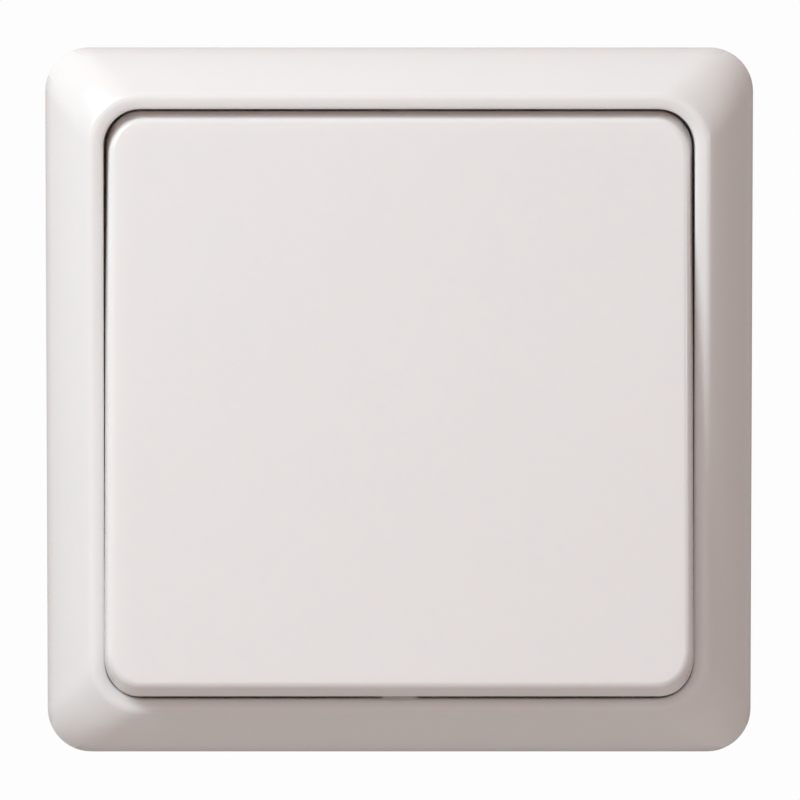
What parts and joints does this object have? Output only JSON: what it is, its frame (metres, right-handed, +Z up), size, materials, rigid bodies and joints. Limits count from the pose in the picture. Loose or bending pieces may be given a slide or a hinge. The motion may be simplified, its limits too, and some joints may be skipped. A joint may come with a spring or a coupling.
{
  "type": "rocker light switch",
  "caption": "Square flush wall switch with a wide tilting key in a bevelled frame, steel mounting plate and a rear housing with contacts and push-in terminals.",
  "frame": {"origin": "middle of the box-screw slots, on the back face of the mounting plate, which is the wall plane", "axes": "+Z up the wall, +X to the right seen from the room, +Y into the wall; the key faces -Y"},
  "size_m": [0.081, 0.0404, 0.081],
  "materials": {
    "frame_plastic": "warm white moulded plastic, gloss",
    "key_plastic": "warm white moulded plastic, gloss",
    "zinc_steel": "stamped steel, zinc plated",
    "base_plastic": "light grey moulded thermoset",
    "lid_plastic": "dark grey moulded plastic",
    "cradle_plastic": "black moulded plastic",
    "button_plastic": "dark grey moulded plastic",
    "contact_brass": "stamped brass",
    "contact_silver": "silver alloy contact",
    "spring_steel": "stainless spring steel"
  },
  "bodies": {
    "housing": {"cover_frame": "frame_plastic", "mounting_plate": "zinc_steel", "switch_base": "base_plastic", "base_cover": "lid_plastic", "common_terminal": "contact_brass", "upper_terminal": "contact_brass", "lower_terminal": "contact_brass", "fixed_contact_tips": "contact_silver", "clamp_spring_common": "spring_steel", "clamp_spring_upper": "spring_steel", "clamp_spring_lower": "spring_steel", "cover_screws": "zinc_steel"},
    "rocker": {"rocker": "key_plastic", "cradle": "cradle_plastic", "toggle_spring": "spring_steel"},
    "contact_beam": {"contact_beam": "contact_brass", "moving_contact_tips": "contact_silver"},
    "release_common": {"release_button_common": "button_plastic"},
    "release_upper": {"release_button_upper": "button_plastic"},
    "release_lower": {"release_button_lower": "button_plastic"}
  },
  "joints": [
    {"name": "rocker_tilt", "type": "hinge", "parent": "housing", "child": "rocker", "pos_m": [0, -0.00807, 0], "axis": [1, 0, 0], "range_deg": [0, 12.4], "deforming": ["toggle_spring"]},
    {"name": "contact_rock", "type": "hinge", "parent": "housing", "child": "contact_beam", "pos_m": [0, 0.01, 0], "axis": [1, 0, 0], "range_deg": [0, 12]},
    {"name": "release_push_common", "type": "slide", "parent": "housing", "child": "release_common", "axis": [0, -1, 0], "range_m": [0, 0.0018], "stiffness_N_per_m": 400, "deforming": ["clamp_spring_common"]},
    {"name": "release_push_upper", "type": "slide", "parent": "housing", "child": "release_upper", "axis": [0, -1, 0], "range_m": [0, 0.0018], "stiffness_N_per_m": 400, "deforming": ["clamp_spring_upper"]},
    {"name": "release_push_lower", "type": "slide", "parent": "housing", "child": "release_lower", "axis": [0, -1, 0], "range_m": [0, 0.0018], "stiffness_N_per_m": 400, "deforming": ["clamp_spring_lower"]}
  ],
  "couplings": [
    {"joint": "contact_rock", "follows": "rocker_tilt", "ratio": 0.96774}
  ]
}
